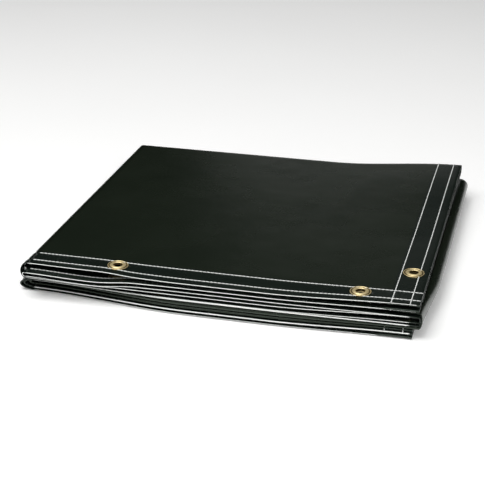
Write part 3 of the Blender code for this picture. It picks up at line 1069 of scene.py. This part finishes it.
def studio_floor():
    """A wide, slightly rough pale floor, as one large quad grid."""
    span = np.linspace(-FLOOR_HALF, FLOOR_HALF, FLOOR_LINES)
    gx, gy = np.meshgrid(span, span)
    points = np.stack([gx, gy, 0 * gx - FLOOR_DROP], -1).reshape(-1, 3)
    piece = new_piece("studio_floor", points, grid_quads(FLOOR_LINES, FLOOR_LINES))
    mat, shader = new_material("painted_floor")
    place = add_node(mat, "ShaderNodeTexCoord")
    mottle = add_node(mat, "ShaderNodeTexNoise", Vector=(place, "Object"),
                      Scale=per_metre(FLOOR_MOTTLE))
    colour = add_node(mat, "ShaderNodeMix", {"data_type": "RGBA"}, in0=(mottle, "Fac"),
                      in6=linear("#f6f6f5"), in7=linear("#fbfbfa"))
    plug(mat, colour, 2, shader, "Base Color")
    shader.inputs["Roughness"].default_value = 0.9
    shader.inputs["Emission Color"].default_value = linear("#ffffff")
    shader.inputs["Emission Strength"].default_value = FLOOR_GLOW
    piece.data.materials.append(mat)


studio_floor()
print("floor", 2 * FLOOR_HALF, "m square")

# %% [markdown]
# ### Lights and sky
#
# A large lamp above the front left gives the soft main shadow, and a second one at the right fills it. One
# low panel far behind lays a sheen along the back edge. The sky could be a picture of a room, but a plain
# gradient has no detail to distract in the gloss. The Standard view transform keeps the white ground white,
# where a film-like one would grey it.

# %% Lights and sky
# The sky brightens along this direction, between these two heights on it, from the low to the high strength.
SKY_WAY = (0.0, -0.6, 1.0)
SKY_DARK_UNDER, SKY_BRIGHT_OVER = 0.3, 0.9
SKY_LOW, SKY_HIGH = 0.03, 1.3


def soft_light(name, place, aim, size, power):
    """A square area light of that size, aimed at a point."""
    data = bpy.data.lights.new(name, "AREA")
    data.size = size
    data.energy = power
    light = bpy.data.objects.new(name, data)
    light.location = place
    away = np.array(place, float) - np.array(aim, float)
    flat = math.hypot(away[0], away[1])
    light.rotation_euler = (math.atan2(flat, away[2]), 0.0, math.atan2(away[0], -away[1]))
    bpy.context.scene.collection.objects.link(light)


def studio_sky():
    """A soft sky: bright overhead and in front, and dark low down at the back, which the sheet mirrors."""
    world = bpy.data.worlds.new("studio")
    world.use_nodes = True
    bpy.context.scene.world = world
    way = add_node(world, "ShaderNodeTexCoord")
    lean = add_node(world, "ShaderNodeVectorMath", {"operation": "DOT_PRODUCT"}, in0=(way, "Generated"),
                    in1=SKY_WAY)
    glow = add_node(world, "ShaderNodeMapRange", {"interpolation_type": "SMOOTHSTEP"}, in0=(lean, "Value"),
                    in1=SKY_DARK_UNDER, in2=SKY_BRIGHT_OVER, in3=SKY_LOW, in4=SKY_HIGH)
    plug(world, glow, "Result", world.node_tree.nodes["Background"], "Strength")


studio_sky()
soft_light("key", place=(-0.6, -0.9, 2.6), aim=(0, 0, 0), size=2.4, power=80.0)
soft_light("fill", place=(1.6, -1.8, 1.9), aim=(0, 0, 0), size=1.8, power=32.0)
soft_light("back_panel", place=(-0.5, 3.6, 0.62), aim=(0, 0, 0), size=1.1, power=1.6)
bpy.context.scene.view_settings.view_transform = "Standard"

# %% [markdown]
# ## Camera
#
# A long lens from the front right, looking down at the stack. Its place is given from the top sheet's front
# right corner, so it follows the model if the stack's height changes.

# %% Camera
# The camera's place from the corner of the top sheet, in metres, and where it looks, in radians.
FROM_CORNER = np.array([0.1307, -1.2466, 0.6199])
LOOKS_DOWN, TURNS_LEFT = 0.4136, 0.2547
CORNER_RISE = 0.6 * MM

lens = bpy.data.cameras.new("camera")
lens.sensor_width = 36.0
lens.lens = 96.5
lens.clip_end = 50.0
camera = bpy.data.objects.new("camera", lens)
top_corner = np.array([RIGHT, FRONT, heights["a"]["first"] + CORNER_RISE])
camera.location = top_corner + FROM_CORNER
camera.rotation_euler = (math.pi / 2 - LOOKS_DOWN, 0.0, TURNS_LEFT)
bpy.context.scene.collection.objects.link(camera)
bpy.context.scene.camera = camera
print("camera at", [round(v, 3) for v in camera.location])
